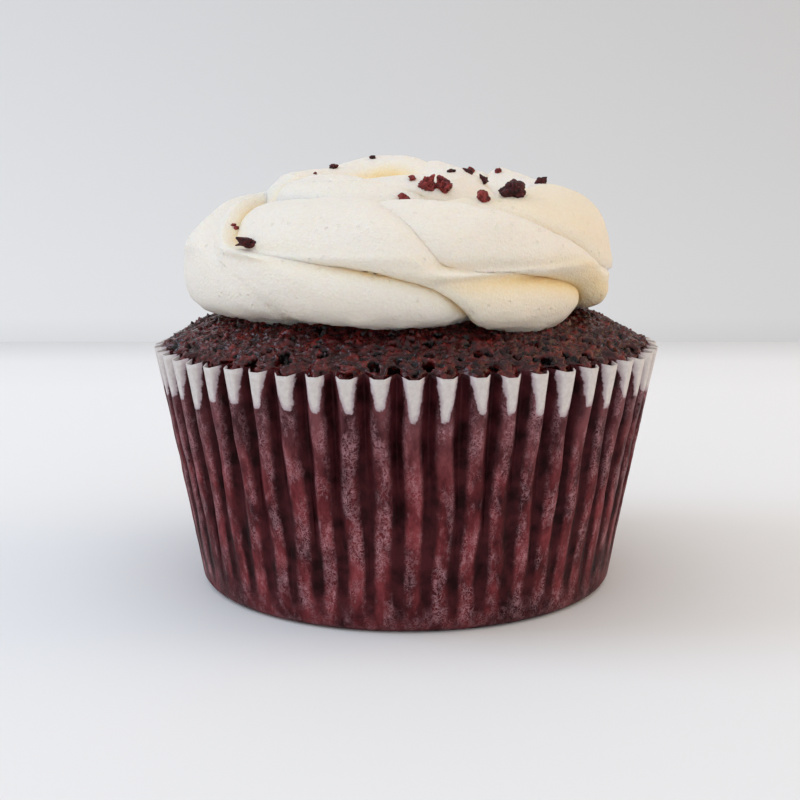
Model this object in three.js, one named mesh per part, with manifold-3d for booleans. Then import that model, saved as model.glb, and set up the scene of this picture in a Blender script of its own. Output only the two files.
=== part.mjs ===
// A frosted cupcake in its pleated paper case.
// Millimetres, +Z up, the origin at the middle of the flat base, azimuth 0 at the front (-Y) and 90 at +X.
import * as THREE from 'three';
import { mergeVertices } from 'three/addons/utils/BufferGeometryUtils.js';
import Module from 'manifold-3d';

const wasm = await Module();
wasm.setup();

// ---- driving dimensions ----

// the paper case
const RIM_RADIUS = 33.1;
const RIM_HEIGHT = 31.3;
const BASE_RADIUS = 27.5;
const BASE_BEND = 1.6;
const BEND_STEPS = 3;
const PAPER = 0.45;
const PLEATS = 54;
const PLEAT_TURN = 1.3;
const PLEAT_DEPTH = 2.0;
const CREST_SHARE = 0.36;
const VALLEY_LIFT = 0.4;
const PLEAT_WANDER = 0.08;
const LEAST_DEPTH = 0.8;
const DEPTH_SPREAD = 0.25;
const RIM_UNEVENNESS = 0.25;
const PAPER_SEED = 7;

// the cake
const CAKE_GAP = 0.3;
const CAKE_EDGE_HEIGHT = 30.9;
const DOME_RISE = 8.4;
const DOME_RADIUS = 32.4;
const DOME_POWER = 0.75;
const CRUST_FROM = 24;
const PLEATED_FROM = 28.5;
const PLEAT_SHARE = 0.8;
const PORE_DEPTH = 0.75;
const PORE_SHARE = 0.2;
const UNEVENNESS = 0.2;
const CAKE_SEED = 11;

// the frosting, a ring and an inner turn, each piped as a twisted rope
const FROSTING_OFFSET = -1.0;
const RING_RADIUS = 17.8;
const RING_HEIGHT = 41.9;
const RING_BACK_RISE = 1.8;
const RING_SECTION = { mean: 9.0, sag: 1.5, sagAngle: -35, flat: 0.4, flatAngle: 15 };
const RING_SHOULDER = 0.7;
const RING_RIDGE = 0.9;
const FOOT_CUT = 3.6;
const INNER_RADIUS = 8.5;
const INNER_HEIGHT = 47.4;
const INNER_BACK_RISE = 0.6;
const INNER_SECTION = { mean: 6.0, sag: 1.2, sagAngle: 0, flat: -0.4, flatAngle: 0 };
const INNER_RIDGE = 0.5;
const INNER_HUMP = 1.9;
const HUMP_AZIMUTH = 165;
const HUMP_WIDTH = 50;
const INNER_CENTRE = [-3.6, 0.5];
const HOLLOW_FLOOR = 51.2;
const HOLLOW_RADIUS = 6.5;
const CORE_FLOOR = 33;
const CORE_SHOULDER = 46;
const CORE_TOP = 49.6;
const FROSTING_GAP = 0.3;
const FOOT_ANGLE = -28;
const LEAN_FROM = -60;
const LEAN_TO = 100;
const SWEEP_BELOW = 5.8;
const SWEEP_ABOVE = 2.6;
const GROOVE_NEAR = 0.45;
const GROOVE_FAR = 1.5;
const RIDGE_LOW = 0.08;
const RIDGE_SPAN = 0.8;

// each fold of the ring: where its tail meets the cake, how far it sweeps round level, the tube angle of
// that level stretch, how much its upper end leans, how deep its groove is above and below that stretch,
// and how far its tail hangs over the cake
const RING_FOLDS = [
  { end: -33, sweep: 6, mid: 1, lean: 0.45, groove: 0.2, tail: 0.3, hang: 0.1 },
  { end: 18, sweep: 54, mid: 10, lean: 0.3, groove: 1.3, tail: 1.2, hang: 0.8 },
  { end: 62, sweep: 43, mid: 0, lean: 0.23, groove: 0.3, tail: 1.4, hang: 0.2 },
  { end: 115, sweep: 28, mid: -12, lean: 0.68, groove: 0.9, tail: 1.3, hang: 0.5 },
  { end: 168, sweep: 40, mid: 2, lean: 0.4, groove: 0.8, tail: 1.2, hang: 0.3 },
  { end: 221, sweep: 44, mid: 5, lean: 0.35, groove: 0.6, tail: 1.3, hang: 0.7 },
  { end: 274, sweep: 40, mid: 1, lean: 0.4, groove: 0.5, tail: 1.0, hang: 0.2 },
];
const INNER_FOLDS = [
  { end: -50, sweep: 0, mid: 45, lean: 0.15, groove: 1.2, tail: 1.2, hang: 0 },
  { end: 52, sweep: 8, mid: 45, lean: 0.5, groove: 0.4, tail: 0.3, hang: 0 },
  { end: 126, sweep: 8, mid: 45, lean: 0.5, groove: 0.35, tail: 0.4, hang: 0 },
  { end: 194, sweep: 8, mid: 45, lean: 0.45, groove: 0.4, tail: 0.4, hang: 0 },
  { end: 258, sweep: 8, mid: 45, lean: 0.4, groove: 0.4, tail: 0.5, hang: 0 },
];

// red crumbs on the frosting: azimuth, distance from the axis and size
const FRONT_CRUMBS = [
  { azimuth: 40.5, reach: 19.8, size: 1.5 },
  { azimuth: 23, reach: 12.2, size: 1.2 },
  { azimuth: 12, reach: 12.3, size: 1.0 },
  { azimuth: 27.5, reach: 19.8, size: 1.0 },
  { azimuth: -45.3, reach: 26.8, size: 0.95 },
  { azimuth: -2, reach: 14.0, size: 0.75 },
  { azimuth: 4, reach: 10.8, size: 0.5 },
  { azimuth: -125.4, reach: 12.0, size: 0.65 },
  { azimuth: 99.5, reach: 18.2, size: 0.75 },
  { azimuth: 97.3, reach: 10.3, size: 0.6 },
  { azimuth: 130, reach: 16.6, size: 0.6 },
  { azimuth: 96, reach: 8.4, size: 0.5 },
  { azimuth: 81.6, reach: 5.8, size: 0.45 },
  { azimuth: -154, reach: 10.3, size: 0.45 },
];
const BACK_CRUMBS = 9;
const BACK_FROM = 145;
const BACK_TO = 230;
const BACK_REACH = 15;
const BACK_SPREAD = 7;
const CRUMB_SEED = 23;
const CRUMB_SUNK = 0.15;
const CRUMB_FLATNESS = 0.85;

const TURN = 360;
const RAD = Math.PI / 180;

// ---- small helpers ----

function seededRandom(seed) {
  let state = seed >>> 0;
  return () => {
    state = (state + 0x6d2b79f5) >>> 0;
    let t = state;
    t = Math.imul(t ^ (t >>> 15), t | 1);
    t ^= t + Math.imul(t ^ (t >>> 7), t | 61);
    return ((t ^ (t >>> 14)) >>> 0) / 4294967296;
  };
}

function place(radius, azimuth, height) {
  return new THREE.Vector3(radius * Math.sin(azimuth * RAD), -radius * Math.cos(azimuth * RAD), height);
}

// one closed body from a three.js geometry: shared vertices merged, flat triangles dropped
function closed(geometry) {
  geometry.deleteAttribute('normal');
  geometry.deleteAttribute('uv');
  const merged = mergeVertices(geometry, 1e-4);
  const kept = [];
  for (let i = 0; i < merged.index.count; i += 3) {
    const [a, b, c] = [0, 1, 2].map((k) => merged.index.getX(i + k));
    if (a !== b && b !== c && c !== a) kept.push(a, b, c);
  }
  merged.setIndex(kept);
  return merged;
}

function toManifold(geometry) {
  const body = closed(geometry);
  const vertProperties = Float32Array.from(body.attributes.position.array);
  const triVerts = Uint32Array.from(body.index.array);
  return new wasm.Manifold(new wasm.Mesh({ numProp: 3, vertProperties, triVerts }));
}

function toGeometry(manifold) {
  const mesh = manifold.getMesh();
  const geometry = new THREE.BufferGeometry();
  geometry.setAttribute('position', new THREE.Float32BufferAttribute(mesh.vertProperties, 3));
  geometry.setIndex(Array.from(mesh.triVerts));
  return geometry;
}

// a lathed body whose rows are then moved one vertex at a time: shape(row, column) gives the new point.
// Every wall is split along the same diagonal, so that nested walls stay parallel
function lathed(profile, columns, shape) {
  const geometry = new THREE.LatheGeometry(profile, columns);
  const position = geometry.attributes.position;
  const index = [];
  for (let column = 0; column <= columns; column += 1) {
    for (let row = 0; row < profile.length; row += 1) {
      const point = shape(row, column % columns);
      const a = column * profile.length + row;
      position.setXYZ(a, point.x, point.y, point.z);
      if (column === columns || row === profile.length - 1) continue;
      const [b, c, d] = [a + profile.length, a + profile.length + 1, a + 1];
      const goesDown = profile[row + 1].y < profile[row].y;
      if (goesDown) index.push(a, b, c, a, c, d);
      else index.push(a, b, d, c, d, b);
    }
  }
  geometry.setIndex(index);
  return closed(geometry);
}

// ---- the pleats that the paper and the cake share ----

const STOPS = [-CREST_SHARE / 2, CREST_SHARE / 2, 0.5];
const PLEAT_COLUMNS = PLEATS * STOPS.length;

function makePleats() {
  const random = seededRandom(PAPER_SEED);
  const pleats = [];
  for (let column = 0; column < PLEAT_COLUMNS; column += 1) {
    const pleat = Math.floor(column / STOPS.length);
    const stop = column % STOPS.length;
    const valley = stop === STOPS.length - 1;
    pleats.push({
      azimuth: ((pleat + STOPS[stop] + PLEAT_WANDER * (random() - 0.5)) * TURN) / PLEATS + PLEAT_TURN,
      depth: valley ? PLEAT_DEPTH * (LEAST_DEPTH + DEPTH_SPREAD * random()) : 0,
      lift: valley ? VALLEY_LIFT : RIM_UNEVENNESS * (random() - 0.5),
    });
  }
  return pleats;
}

const PLEAT_SHAPE = makePleats();

// radius of the paper's outer face: straight flutes that open from the base to the rim
function paperRadius(column, height) {
  const up = Math.max(0, (height - BASE_BEND) / (RIM_HEIGHT - BASE_BEND));
  return BASE_RADIUS + (RIM_RADIUS - BASE_RADIUS) * up - PLEAT_SHAPE[column].depth * up;
}

// ---- the paper case ----

// rows of the rounded edge where the floor turns up into the wall, for the outer face or one inset from it
function bendRows(inset) {
  const radius = BASE_BEND - inset;
  return Array.from({ length: BEND_STEPS }, (_, step) => {
    const angle = ((step / BEND_STEPS) * Math.PI) / 2;
    return {
      radius: BASE_RADIUS - BASE_BEND + radius * Math.sin(angle),
      height: BASE_BEND - radius * Math.cos(angle),
    };
  });
}

function buildPaperCase() {
  const rows = [
    { onAxis: true, height: 0 },
    ...bendRows(0),
    { height: BASE_BEND, inset: 0 },
    { height: RIM_HEIGHT, inset: 0 },
    { height: RIM_HEIGHT, inset: PAPER },
    { height: BASE_BEND, inset: PAPER },
    ...bendRows(PAPER).reverse(),
    { onAxis: true, height: PAPER },
  ];
  const profile = rows.map((row) => new THREE.Vector2(row.onAxis ? 0 : BASE_RADIUS, row.height));
  return lathed(profile, PLEAT_COLUMNS, (row, column) => {
    const { onAxis, radius, height, inset } = rows[row];
    const { azimuth, lift } = PLEAT_SHAPE[column];
    if (onAxis) return place(0, 0, height);
    if (radius) return place(radius, azimuth, height);
    const top = height === RIM_HEIGHT ? height + lift : height;
    return place(paperRadius(column, top) - inset, azimuth, top);
  });
}

// ---- the cake ----

function domeHeight(radius) {
  const out = Math.min(1, radius / DOME_RADIUS);
  return CAKE_EDGE_HEIGHT + DOME_RISE * (1 - out ** 2) ** DOME_POWER;
}

function buildCake() {
  const inset = PAPER + CAKE_GAP;
  const floor = PAPER + CAKE_GAP;
  const domeRadii = [31.0, 30.2, 29.2, 28.1, 27.0, 25.9, 24.8, 22.5, 14];
  const rows = [
    { radius: 0, height: floor },
    { radius: BASE_RADIUS - BASE_BEND - inset, height: floor },
    { wall: true, height: BASE_BEND + CAKE_GAP },
    { wall: true, height: CAKE_EDGE_HEIGHT },
    ...domeRadii.map((radius) => ({ radius, height: domeHeight(radius), crust: radius > CRUST_FROM })),
    { radius: 0, height: domeHeight(0) },
  ];
  const random = seededRandom(CAKE_SEED);
  const pores = Array.from({ length: rows.length * PLEAT_COLUMNS }, () => (
    random() < PORE_SHARE ? PORE_DEPTH * (0.6 + 0.6 * random()) : UNEVENNESS * random()
  ));
  const profile = rows.map((row) => new THREE.Vector2(row.radius === 0 ? 0 : BASE_RADIUS, row.height));
  return lathed(profile, PLEAT_COLUMNS, (row, column) => {
    const { radius, height, wall, crust } = rows[row];
    const { azimuth, depth } = PLEAT_SHAPE[column];
    if (radius === 0) return place(0, 0, height);
    if (wall) return place(paperRadius(column, height) - inset, azimuth, height);
    if (!crust) return place(radius, azimuth, height);
    // the outermost crust rows still follow the pleats, and pores sink into the crust
    const follow = Math.max(0, (radius - PLEATED_FROM) / (DOME_RADIUS - PLEATED_FROM));
    const sink = pores[row * PLEAT_COLUMNS + column] * Math.min(1, (RIM_RADIUS - radius) / 2);
    return place(radius - PLEAT_SHARE * depth * follow, azimuth, height - sink);
  });
}

// ---- the frosting ----

const logistic = (value) => 1 / (1 + Math.exp(-value));
const wave = (angle) => Math.cos(angle * RAD);

// azimuth of a fold's groove at an angle round the tube: 0 faces out, 90 up
function foldAzimuth(fold, angle) {
  const above = logistic((angle - fold.mid) / 2);
  const softness = SWEEP_BELOW + (SWEEP_ABOVE - SWEEP_BELOW) * above;
  const lean = fold.lean * (THREE.MathUtils.clamp(angle, LEAN_FROM, LEAN_TO) - FOOT_ANGLE);
  return fold.end - lean - fold.sweep * logistic((angle - fold.mid) / softness);
}

// degrees of azimuth for each degree round the tube, along a fold's groove
function foldSlope(fold, angle) {
  return foldAzimuth(fold, angle + 0.5) - foldAzimuth(fold, angle - 0.5);
}

function grooveDepth(fold, angle) {
  const high = logistic((angle - fold.mid - 8) / 3);
  return fold.tail * (1 - high) + fold.groove * high;
}

// radius of a tube's cross-section: sagging towards one angle, and flattened at another and opposite it
function sectionRadius({ mean, sag, sagAngle, flat, flatAngle }, angle) {
  return mean + sag * wave(angle - sagAngle) - flat * wave(2 * (angle - flatAngle));
}

const RING = {
  folds: RING_FOLDS,
  rows: 24,
  crowding: 36,
  centre: [FROSTING_OFFSET, 0],
  pathRadius: RING_RADIUS,
  pathHeight: (azimuth) => RING_HEIGHT + (RING_BACK_RISE * (1 - wave(azimuth))) / 2,
  section: (angle, azimuth) => {
    // the upper outer side is fuller at +X than at -X
    const { smoothstep } = THREE.MathUtils;
    const shoulder = smoothstep(angle, 5, 45) * (1 - smoothstep(angle, 75, 110));
    return sectionRadius(RING_SECTION, angle) + RING_SHOULDER * Math.sin(azimuth * RAD) * shoulder;
  },
  ridge: RING_RIDGE,
  footCut: FOOT_CUT,
};

const INNER = {
  folds: INNER_FOLDS,
  rows: 20,
  crowding: 0,
  centre: INNER_CENTRE,
  pathRadius: INNER_RADIUS,
  pathHeight: (azimuth) => {
    const away = THREE.MathUtils.euclideanModulo(azimuth - HUMP_AZIMUTH + TURN / 2, TURN) - TURN / 2;
    const rise = (INNER_BACK_RISE * (1 - wave(azimuth))) / 2;
    return INNER_HEIGHT + rise + INNER_HUMP * Math.exp(-((away / HUMP_WIDTH) ** 2));
  },
  section: (angle) => sectionRadius(INNER_SECTION, angle),
  ridge: INNER_RIDGE,
  footCut: 0,
};

// columns of a fold, from its groove over its ridge to the next groove
const LEFT_STOPS = [0, 0.14, 0.45, 0.78];
const RIGHT_STOPS = [0, 0.3, 0.65, 0.88];
const FOLD_COLUMNS = LEFT_STOPS.length + RIGHT_STOPS.length;

// share of a fold's width at which its ridge runs, by the level stretch of the fold after it
function ridgeShare(angle, next) {
  return RIDGE_LOW + RIDGE_SPAN * logistic((angle - next.mid - 2.5) / 3.5);
}

function pipedPoint(turn, row, column) {
  const { folds, rows, crowding, pathRadius } = turn;
  const s = row / rows - 0.5;
  const angle = TURN * s - crowding * Math.sin(2 * Math.PI * s);
  const index = Math.floor(column / FOLD_COLUMNS);
  const fold = folds[index];
  const next = folds[(index + 1) % folds.length];
  const wrap = index === folds.length - 1 ? TURN : 0;
  const start = foldAzimuth(fold, angle);
  const width = foldAzimuth(next, angle) + wrap - start;
  const ridgeAt = ridgeShare(angle, next);
  const stop = column % FOLD_COLUMNS;
  const share = stop < LEFT_STOPS.length
    ? ridgeAt * LEFT_STOPS[stop]
    : ridgeAt + (1 - ridgeAt) * RIGHT_STOPS[stop - LEFT_STOPS.length];
  const azimuth = start + share * width;
  const section = turn.section(angle, azimuth);
  const swell = share < ridgeAt
    ? (share / ridgeAt) ** 0.7
    : ((1 - share) / (1 - ridgeAt)) ** 0.7;
  // how far the point is, across the fold, from its own groove and from the next one
  const path = pathRadius + section * wave(angle);
  const across = path * width * RAD;
  const own = (across * share) / Math.hypot(1, (path * foldSlope(fold, angle)) / section);
  const other = (across * (1 - share)) / Math.hypot(1, (path * foldSlope(next, angle)) / section);
  const near = grooveDepth(fold, angle) * Math.exp(-own / GROOVE_NEAR);
  const far = grooveDepth(next, angle) * Math.exp(-other / GROOVE_FAR);
  // the tube is tucked in at its foot
  const foot = logistic(-(angle + 40) / 5) * logistic((angle + 120) / 8);
  const tuck = turn.footCut * foot * (1 - fold.hang * 4 * share * (1 - share));
  const reach = section + turn.ridge * (swell - 0.5) - Math.max(near, far) - tuck;
  const out = pathRadius + reach * wave(angle);
  const up = turn.pathHeight(azimuth) + reach * Math.sin(angle * RAD);
  const point = place(out, azimuth, up);
  return point.add(new THREE.Vector3(turn.centre[0], turn.centre[1], 0));
}

function pipedTurn(turn) {
  const columns = turn.folds.length * FOLD_COLUMNS;
  const geometry = new THREE.TorusGeometry(RING_RADIUS, 1, turn.rows, columns);
  const position = geometry.attributes.position;
  for (let row = 0; row <= turn.rows; row += 1) {
    for (let column = 0; column <= columns; column += 1) {
      const point = pipedPoint(turn, row % turn.rows, column % columns);
      position.setXYZ(row * (columns + 1) + column, point.x, point.y, point.z);
    }
  }
  return toManifold(geometry);
}

// a smooth lathed body from radius and height pairs
function turned(outline, segments) {
  const geometry = new THREE.LatheGeometry(outline.map(([r, z]) => new THREE.Vector2(r, z)), segments);
  return geometry.rotateX(Math.PI / 2);
}

// what the ring closes round: it fills the middle, and a plug makes the floor of the central hollow
function frostingCore() {
  const outline = [
    [0, CORE_FLOOR],
    [RING_RADIUS, CORE_FLOOR],
    [RING_RADIUS, CORE_SHOULDER],
    [INNER_RADIUS + 2, CORE_TOP - 0.3],
    [0, CORE_TOP],
  ];
  const plug = [
    [0, HOLLOW_FLOOR - 6.2],
    [HOLLOW_RADIUS, HOLLOW_FLOOR - 6.2],
    [HOLLOW_RADIUS, HOLLOW_FLOOR - 2.2],
    [HOLLOW_RADIUS - 2, HOLLOW_FLOOR - 0.2],
    [0, HOLLOW_FLOOR],
  ];
  const core = toManifold(turned(outline, 24).translate(FROSTING_OFFSET, 0, 0));
  return core.add(toManifold(turned(plug, 18).translate(INNER_CENTRE[0], INNER_CENTRE[1], 0)));
}

// the space under the frosting: the cake's dome and a thin gap
function cakeBed() {
  const radii = [DOME_RADIUS, 30, 28, 26, 24, 21, 16, 9];
  const floor = CORE_FLOOR - 10;
  const outline = [[0, floor], [DOME_RADIUS, floor]];
  radii.forEach((radius) => outline.push([radius, domeHeight(radius) + FROSTING_GAP]));
  outline.push([0, domeHeight(0) + FROSTING_GAP]);
  return toManifold(turned(outline, 72));
}

// a crumb: a small uneven faceted lump, its lower part sunk in the frosting
function crumbAt(surface, azimuth, reach, size, random) {
  const from = place(reach, azimuth, 2 * RING_HEIGHT);
  const ray = new THREE.Raycaster(from, new THREE.Vector3(0, 0, -1));
  const [hit] = ray.intersectObject(surface);
  const geometry = mergeVertices(closed(new THREE.IcosahedronGeometry(size, 0)));
  const position = geometry.attributes.position;
  for (let i = 0; i < position.count; i += 1) {
    const corner = new THREE.Vector3().fromBufferAttribute(position, i);
    corner.multiplyScalar(0.75 + 0.5 * random());
    position.setXYZ(i, corner.x, corner.y, CRUMB_FLATNESS * corner.z);
  }
  geometry.rotateZ(TURN * random() * RAD);
  geometry.translate(hit.point.x, hit.point.y, hit.point.z + CRUMB_SUNK * size);
  return toManifold(geometry);
}

function buildFrosting() {
  let frosting = pipedTurn(RING).add(pipedTurn(INNER)).add(frostingCore()).subtract(cakeBed());
  const seenFromBothSides = new THREE.MeshBasicMaterial({ side: THREE.DoubleSide });
  const surface = new THREE.Mesh(toGeometry(frosting), seenFromBothSides);
  const random = seededRandom(CRUMB_SEED);
  FRONT_CRUMBS.forEach(({ azimuth, reach, size }) => {
    frosting = frosting.add(crumbAt(surface, azimuth, reach, size, random));
  });
  for (let i = 0; i < BACK_CRUMBS; i += 1) {
    const azimuth = BACK_FROM + ((BACK_TO - BACK_FROM) * (i + 0.8 * random())) / BACK_CRUMBS;
    const reach = BACK_REACH + BACK_SPREAD * random();
    const size = 0.6 + 0.7 * random() ** 2;
    frosting = frosting.add(crumbAt(surface, azimuth, reach, size, random));
  }
  return toGeometry(frosting);
}

// ---- the whole ----

const finishes = {
  paper_case: { color: 0x6e3034, roughness: 0.85, metalness: 0 },
  cake: { color: 0x3a1418, roughness: 0.55, metalness: 0 },
  frosting: { color: 0xece4d6, roughness: 0.5, metalness: 0 },
};

function piece(name, geometry) {
  const mesh = new THREE.Mesh(geometry, new THREE.MeshStandardMaterial(finishes[name]));
  mesh.name = name;
  return mesh;
}

const cupcake = new THREE.Group();
cupcake.add(piece('paper_case', buildPaperCase()));
cupcake.add(piece('cake', buildCake()));
cupcake.add(piece('frosting', buildFrosting()));

export default cupcake;
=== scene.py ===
"""The looks of a frosted cupcake in its pleated paper case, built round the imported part.

Shapes are worked out in millimetres and become metres where a mesh is made. Angles are in degrees: azimuth 0 is the
front (-Y) and 90 is +X.
"""

import math

import bmesh
import bpy
import numpy as np
from mathutils import Matrix, Vector, noise
from mathutils.bvhtree import BVHTree


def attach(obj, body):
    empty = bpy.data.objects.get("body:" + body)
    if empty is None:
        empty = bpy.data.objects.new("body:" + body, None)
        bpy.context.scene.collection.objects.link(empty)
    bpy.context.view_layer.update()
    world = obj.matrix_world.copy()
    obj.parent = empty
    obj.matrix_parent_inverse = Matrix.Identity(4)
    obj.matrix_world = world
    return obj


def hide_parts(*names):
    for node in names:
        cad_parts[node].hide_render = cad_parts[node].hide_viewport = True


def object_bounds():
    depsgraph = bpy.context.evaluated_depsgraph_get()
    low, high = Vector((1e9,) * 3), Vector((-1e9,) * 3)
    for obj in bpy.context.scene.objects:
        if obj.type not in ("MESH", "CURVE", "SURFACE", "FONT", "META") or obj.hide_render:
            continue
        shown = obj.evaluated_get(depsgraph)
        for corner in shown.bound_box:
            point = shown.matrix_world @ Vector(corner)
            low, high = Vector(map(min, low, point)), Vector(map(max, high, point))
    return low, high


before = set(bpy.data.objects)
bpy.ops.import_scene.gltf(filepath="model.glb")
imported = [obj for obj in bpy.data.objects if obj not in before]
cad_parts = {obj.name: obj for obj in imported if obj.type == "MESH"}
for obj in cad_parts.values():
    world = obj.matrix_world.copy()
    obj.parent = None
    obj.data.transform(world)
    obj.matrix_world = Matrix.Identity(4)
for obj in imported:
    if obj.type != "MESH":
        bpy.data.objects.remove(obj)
CAD_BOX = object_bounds()

MM = 0.001
TURN = 360.0
RAD = math.pi / 180

# ---- driving dimensions ----

# The part has them too, save the swell at the back and the drop at the left. The paper and its gap are thinner here,
# and a few folds and crumbs differ a little.

RIM_RADIUS = 33.1
RIM_HEIGHT = 31.3
BASE_RADIUS = 27.5
BASE_BEND = 1.6
PLEATS = 54
PLEAT_DEPTH = 2.0
PLEAT_TURN = 1.3
CREST_SHARE = 0.36
VALLEY_LIFT = 0.4
PAPER_SEED = 7
PAPER = 0.14

CAKE_GAP = 0.05
CAKE_EDGE_HEIGHT = 30.9
DOME_RISE = 8.4
DOME_RADIUS = 32.4
DOME_POWER = 0.75

FROSTING_OFFSET = -1.0
RING_RADIUS = 17.8
RING_HEIGHT = 41.9
RING_BACK_RISE = 1.8
BACK_SWELL = 1.6
SWELL_SPAN = (141, 19)
LEFT_DROP = 0.8
DROP_SPAN = (-112, 24)
RING_SHOULDER = 0.7
FOOT_CUT = 3.6
INNER_RADIUS = 8.5
INNER_HEIGHT = 47.4
INNER_BACK_RISE = 0.6
INNER_HUMP = 1.9
HUMP_SPAN = (165, 50)
INNER_CENTRE = (-3.6, 0.5)
HOLLOW_FLOOR = 51.2
FOOT_ANGLE = -28
LEAN_FROM = -60
LEAN_TO = 100
SWEEP_BELOW = 5.8
SWEEP_ABOVE = 2.6

FOLD_FIELDS = ("end", "sweep", "mid", "lean", "groove", "tail", "hang")


def make_fold(*numbers, **extra):
    return dict(zip(FOLD_FIELDS, numbers), **extra)


# The folds, by the grooves between them. A groove ends at azimuth "end" low on the tube, runs level over "sweep"
# degrees at angle "mid" (0 faces out, 90 up), leans back by "lean" degrees for each degree round the tube, and is
# "groove" deep above that stretch and "tail" below it. "hang" is how far the fold's foot hangs out. "blunt" rounds
# the groove, "ridge" moves the ridge, "low" and "high" widen the sides, and "gold" is painted golden shade on
# the fold, low and high.
RING_FOLDS = [
    make_fold(-33, 6, 1, 0.45, 0.1, 0.2, 0.1, blunt=1.6, ridge=(0.45, 0.72)),
    make_fold(18, 54, 10, 0.3, 1.0, 1.2, 0.8, high=(2.2, 1.2), gold=(0.14, 0.0)),
    make_fold(65, 46, 0, 0.23, 0.3, 2.3, 0.2, low=(1.5, 2.3), gold=(0.42, 0.08)),
    make_fold(115, 28, -12, 0.68, 0.9, 1.3, 0.5, gold=(0.2, 0.26)),
    make_fold(168, 40, 2, 0.4, 0.8, 1.2, 0.3),
    make_fold(221, 44, 5, 0.35, 0.6, 1.3, 0.7),
    make_fold(274, 40, 1, 0.4, 0.5, 1.0, 0.2),
]
INNER_FOLDS = [
    make_fold(-50, 0, 45, 0.15, 1.3, 1.6, 0, low=(0.5, 2.4)),
    make_fold(52, 8, 45, 0.5, 0.4, 0.3, 0),
    make_fold(126, 8, 45, 0.5, 0.35, 0.4, 0),
    make_fold(194, 8, 45, 0.45, 0.4, 0.4, 0),
    make_fold(258, 8, 45, 0.4, 0.4, 0.5, 0),
]
# how wide a groove's two sides run out, after it and before it: below its level stretch and above it
LOW_SIDES = (0.45, 1.5)
HIGH_SIDES = (1.1, 0.8)

# crumbs on the frosting: azimuth, distance from the axis, size and kind, and for a crumb that is taller or a flake
# also how far it is lifted and how wide it is
FRONT_CRUMBS = [
    (40.5, 19.8, 1.5, "dark", 0.2, 0.86),
    (23, 12.2, 1.2, "red"),
    (12, 12.3, 1.0, "red"),
    (27.5, 19.8, 1.0, "red"),
    (-44.4, 26.8, 0.95, "dark", 0.75, 1.35),
    (-2, 14.0, 0.75, "red"),
    (4, 10.8, 0.5, "red"),
    (-125.4, 12.0, 0.65, "dark"),
    (99.5, 18.2, 0.75, "dark"),
    (97.3, 10.3, 0.6, "dark"),
    (130, 16.6, 0.6, "red"),
    (96, 8.4, 0.5, "dark"),
    (81.6, 5.8, 0.45, "dark"),
    (-154, 10.3, 0.45, "dark"),
]
BACK_CRUMBS = 9
BACK_FROM = 145
BACK_TO = 230
BACK_REACH = 15
BACK_SPREAD = 7
CRUMB_SEED = 23
CRUMB_SUNK = 0.15
CRUMB_FLATNESS = 0.85
# draws that the part takes for one crumb's corners and turn
DRAWS_PER_CRUMB = 13
# a back crumb's least size, and how much larger the largest is
BACK_SIZE = 0.6
BACK_SIZE_SPREAD = 0.7
# specks too small for the solid
SPECKS = [(-58.5, 24.8, 0.28, "red"), (-57.1, 24.8, 0.32, "red"), (-83, 11.9, 0.26, "red")]


# ---- small helpers ----


def seeded_random(seed):
    """The part's own random draws, so that every pleat stands where the solid has it."""
    state = seed & 0xFFFFFFFF

    def draw():
        nonlocal state
        state = (state + 0x6D2B79F5) & 0xFFFFFFFF
        t = state
        t = ((t ^ (t >> 15)) * (t | 1)) & 0xFFFFFFFF
        t ^= (t + (((t ^ (t >> 7)) * (t | 61)) & 0xFFFFFFFF)) & 0xFFFFFFFF
        return ((t ^ (t >> 14)) & 0xFFFFFFFF) / 4294967296

    return draw


def smoothstep(low, high, value):
    """From 0 at low to 1 at high, level at both ends; low may be the larger of the two."""
    t = np.clip((value - low) / (high - low), 0, 1)
    return t * t * (3 - 2 * t)


def logistic(value):
    return 1 / (1 + np.exp(-value))


def beyond(border, angle):
    """From 0 below a border to 1 beyond it; the border is an angle and its softness, negative for the reverse."""
    at, softness = border
    return logistic((angle - at) / softness)


def hump(span, azimuth):
    """1 at the middle of a span, which is an azimuth and a width, and falling off to both sides."""
    middle, width = span
    away = (azimuth - middle + TURN / 2) % TURN - TURN / 2
    return np.exp(-((away / width) ** 2))


def place(radius, azimuth, height):
    """Points from radius, azimuth in degrees and height, all arrays of one shape."""
    a = np.asarray(azimuth) * RAD
    x = radius * np.sin(a)
    y = -radius * np.cos(a)
    return np.stack(np.broadcast_arrays(x, y, height), axis=-1)


def grid_faces(rows, columns, close_rows=False):
    """Quads of a grid whose columns close on themselves, row 0 lowest on an outer wall, facing out."""
    number = np.arange(rows * columns).reshape(rows, columns)
    beside, above = np.roll(number, -1, axis=1), np.roll(number, -1, axis=0)
    quads = np.stack([number, beside, np.roll(beside, -1, axis=0), above], axis=-1)
    return (quads if close_rows else quads[:-1]).reshape(-1, 4).tolist()


def fan_faces(first, columns, centre, upward):
    """Triangles from a ring of vertices to one centre vertex."""
    ring = [(first + j, first + (j + 1) % columns) for j in range(columns)]
    return [(a, b, centre) if upward else (b, a, centre) for a, b in ring]


def closed_faces(rows, columns):
    """A grid with a fan at its foot and its top, whose two centres come after the grid's own points."""
    count = rows * columns
    foot = fan_faces(0, columns, count, False)
    return grid_faces(rows, columns) + foot + fan_faces(count - columns, columns, count + 1, True)


def new_mesh(name, points, faces):
    """A smooth mesh object in metres from points in millimetres."""
    mesh = bpy.data.meshes.new(name)
    mesh.from_pydata((np.asarray(points).reshape(-1, 3) * MM).tolist(), [], faces)
    mesh.update()
    mesh.polygons.foreach_set("use_smooth", [True] * len(mesh.polygons))
    piece = bpy.data.objects.new(name, mesh)
    bpy.context.scene.collection.objects.link(piece)
    return piece


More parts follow.
